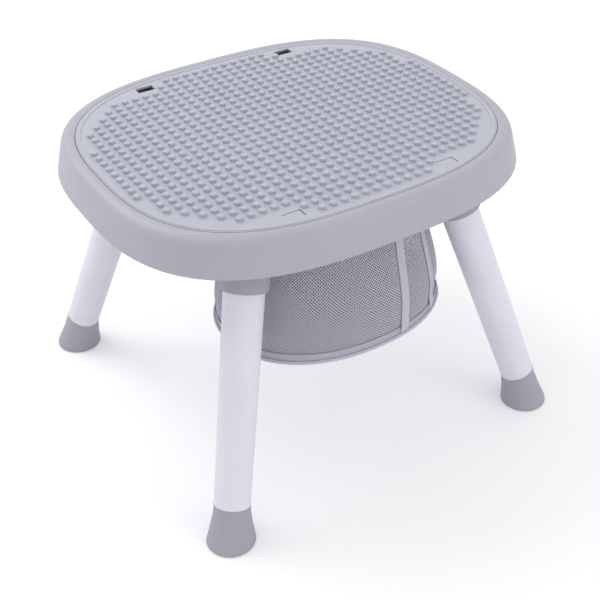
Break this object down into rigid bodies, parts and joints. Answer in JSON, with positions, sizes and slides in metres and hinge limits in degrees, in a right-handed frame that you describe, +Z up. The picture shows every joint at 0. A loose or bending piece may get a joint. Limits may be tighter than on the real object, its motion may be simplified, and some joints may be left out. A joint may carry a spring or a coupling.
{
  "type": "kids play table with storage",
  "caption": "Low oval play table with a studded lift-off lid over a shallow tray and a hanging net basket, on splayed plug-in legs.",
  "frame": {"origin": "centre of the table on the floor", "axes": "+X along the table, +Y across it away from the basket's side, +Z up"},
  "size_m": [0.604, 0.5764, 0.4396],
  "materials": {
    "frame_plastic": "satin moulded plastic, cool light grey",
    "lid_plastic": "semi-gloss moulded plastic, cool light grey",
    "socket_plastic": "satin moulded plastic, mid grey",
    "tube_plastic": "smooth off-white plastic tube",
    "button_plastic": "satin moulded plastic, off-white",
    "steel": "zinc plated",
    "spring_steel": "bare spring steel",
    "net_cloth": "knitted polyester net",
    "band_cloth": "woven polyester",
    "tape_cloth": "woven binding tape"
  },
  "bodies": {
    "table": {"tabletop_frame": "frame_plastic", "storage_tray": "frame_plastic", "tray_screws": "steel", "socket_screws": "steel", "basket_hoop": "frame_plastic", "basket_hem": "tape_cloth", "basket_net": "net_cloth", "basket_band": "band_cloth", "basket_floor": "band_cloth", "basket_piping": "tape_cloth", "basket_tape_front": "tape_cloth", "basket_tape_right": "tape_cloth", "basket_tape_rear": "tape_cloth", "basket_tape_left": "tape_cloth", "leg_socket_front_left": "socket_plastic", "leg_tube_front_left": "tube_plastic", "leg_foot_front_left": "socket_plastic", "leg_spring_front_left": "spring_steel", "leg_socket_front_right": "socket_plastic", "leg_tube_front_right": "tube_plastic", "leg_foot_front_right": "socket_plastic", "leg_spring_front_right": "spring_steel", "leg_socket_rear_left": "socket_plastic", "leg_tube_rear_left": "tube_plastic", "leg_foot_rear_left": "socket_plastic", "leg_spring_rear_left": "spring_steel", "leg_socket_rear_right": "socket_plastic", "leg_tube_rear_right": "tube_plastic", "leg_foot_rear_right": "socket_plastic", "leg_spring_rear_right": "spring_steel"},
    "lid": {"stud_lid": "lid_plastic", "flap_pin_left": "steel", "flap_pin_right": "steel", "flap_spring_left": "spring_steel", "flap_spring_right": "spring_steel"},
    "flap_left": {"flap_left": "lid_plastic"},
    "flap_right": {"flap_right": "lid_plastic"},
    "button_front_left": {"leg_button_front_left": "button_plastic"},
    "button_front_right": {"leg_button_front_right": "button_plastic"},
    "button_rear_left": {"leg_button_rear_left": "button_plastic"},
    "button_rear_right": {"leg_button_rear_right": "button_plastic"}
  },
  "joints": [
    {"name": "lid_lift", "type": "slide", "parent": "table", "child": "lid", "axis": [0, 0, 1], "range_m": [0, 0.12]},
    {"name": "flap_left_hinge", "type": "hinge", "parent": "lid", "child": "flap_left", "pos_m": [-0.1258, -0.202, 0.4296], "axis": [0, 1, 0], "range_deg": [0, 35], "stiffness_Nm_per_rad": 0.02, "springref_deg": -17.19},
    {"name": "flap_right_hinge", "type": "hinge", "parent": "lid", "child": "flap_right", "pos_m": [0.1062, -0.202, 0.4296], "axis": [0, 1, 0], "range_deg": [0, 35], "stiffness_Nm_per_rad": 0.02, "springref_deg": -17.19},
    {"name": "button_front_left_press", "type": "slide", "parent": "table", "child": "button_front_left", "axis": [-0.6618, -0.6556, 0.3635], "range_m": [0, 0.0065], "stiffness_N_per_m": 200, "springref_m": -0.004, "deforming": ["leg_spring_front_left"]},
    {"name": "button_front_right_press", "type": "slide", "parent": "table", "child": "button_front_right", "axis": [0.6618, -0.6556, 0.3635], "range_m": [0, 0.0065], "stiffness_N_per_m": 200, "springref_m": -0.004, "deforming": ["leg_spring_front_right"]},
    {"name": "button_rear_left_press", "type": "slide", "parent": "table", "child": "button_rear_left", "axis": [-0.6618, 0.6556, 0.3635], "range_m": [0, 0.0065], "stiffness_N_per_m": 200, "springref_m": -0.004, "deforming": ["leg_spring_rear_left"]},
    {"name": "button_rear_right_press", "type": "slide", "parent": "table", "child": "button_rear_right", "axis": [0.6618, 0.6556, 0.3635], "range_m": [0, 0.0065], "stiffness_N_per_m": 200, "springref_m": -0.004, "deforming": ["leg_spring_rear_right"]}
  ]
}
